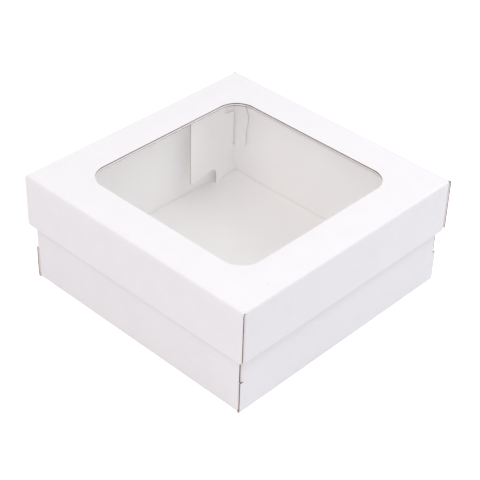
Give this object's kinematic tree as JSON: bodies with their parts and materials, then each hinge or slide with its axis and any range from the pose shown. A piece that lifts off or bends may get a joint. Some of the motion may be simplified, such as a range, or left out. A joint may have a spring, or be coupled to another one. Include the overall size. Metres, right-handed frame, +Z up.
{
  "type": "catering box",
  "caption": "Square lidded catering box of white micro-flute board: a self-locking tray under a lift-off lid with a rounded square window closed by clear film.",
  "frame": {"origin": "middle of the tray's underside, on the surface the box stands on", "axes": "+Z up through the lid; +X to the right side wall; -Y to the front wall, which the two outer side walls meet with their raw edges"},
  "size_m": [0.25, 0.25, 0.105],
  "materials": {
    "white_board": "matte, faintly fibrous white liner over a brown fluted core",
    "clear_film": "clear glossy film"
  },
  "bodies": {
    "tray": {"tray_floor": "white_board", "tray_front_wall": "white_board", "tray_back_wall": "white_board", "tray_left_wall": "white_board", "tray_right_wall": "white_board"},
    "lid": {"lid_top_panel": "white_board", "window_film": "clear_film", "lid_front_skirt": "white_board", "lid_back_skirt": "white_board", "lid_left_skirt": "white_board", "lid_right_skirt": "white_board", "lid_corner_flap_front_left": "white_board", "lid_corner_flap_front_right": "white_board", "lid_corner_flap_back_left": "white_board", "lid_corner_flap_back_right": "white_board"},
    "flap_front_left": {"tray_corner_flap_front_left": "white_board"},
    "flap_front_right": {"tray_corner_flap_front_right": "white_board"},
    "flap_back_left": {"tray_corner_flap_back_left": "white_board"},
    "flap_back_right": {"tray_corner_flap_back_right": "white_board"},
    "tongue_front_left": {"tray_lock_tongue_front_left": "white_board"},
    "tongue_front_right": {"tray_lock_tongue_front_right": "white_board"},
    "tongue_back_left": {"tray_lock_tongue_back_left": "white_board"},
    "tongue_back_right": {"tray_lock_tongue_back_right": "white_board"}
  },
  "joints": [
    {"name": "lid_lift", "type": "slide", "parent": "tray", "child": "lid", "axis": [0, 0, 1], "range_m": [0, 0.12]},
    {"name": "flap_swing_front_left", "type": "hinge", "parent": "tray", "child": "flap_front_left", "pos_m": [-0.11695, -0.11875, 0.05], "axis": [0, 0, -1], "range_deg": [-8.5, 25], "stiffness_Nm_per_rad": 0.02},
    {"name": "flap_swing_front_right", "type": "hinge", "parent": "tray", "child": "flap_front_right", "pos_m": [0.11695, -0.11875, 0.05], "axis": [0, 0, 1], "range_deg": [-8.5, 25], "stiffness_Nm_per_rad": 0.02},
    {"name": "flap_swing_back_left", "type": "hinge", "parent": "tray", "child": "flap_back_left", "pos_m": [-0.11695, 0.11875, 0.05], "axis": [0, 0, 1], "range_deg": [-8.5, 25], "stiffness_Nm_per_rad": 0.02},
    {"name": "flap_swing_back_right", "type": "hinge", "parent": "tray", "child": "flap_back_right", "pos_m": [0.11695, 0.11875, 0.05], "axis": [0, 0, -1], "range_deg": [-8.5, 25], "stiffness_Nm_per_rad": 0.02},
    {"name": "tongue_swing_front_left", "type": "hinge", "parent": "tray", "child": "tongue_front_left", "pos_m": [-0.11875, -0.11695, 0.059], "axis": [0, 0, 1], "range_deg": [0, 18], "stiffness_Nm_per_rad": 0.01},
    {"name": "tongue_swing_front_right", "type": "hinge", "parent": "tray", "child": "tongue_front_right", "pos_m": [0.11875, -0.11695, 0.059], "axis": [0, 0, -1], "range_deg": [0, 18], "stiffness_Nm_per_rad": 0.01},
    {"name": "tongue_swing_back_left", "type": "hinge", "parent": "tray", "child": "tongue_back_left", "pos_m": [-0.11875, 0.11695, 0.059], "axis": [0, 0, -1], "range_deg": [0, 18], "stiffness_Nm_per_rad": 0.01},
    {"name": "tongue_swing_back_right", "type": "hinge", "parent": "tray", "child": "tongue_back_right", "pos_m": [0.11875, 0.11695, 0.059], "axis": [0, 0, 1], "range_deg": [0, 18], "stiffness_Nm_per_rad": 0.01}
  ]
}
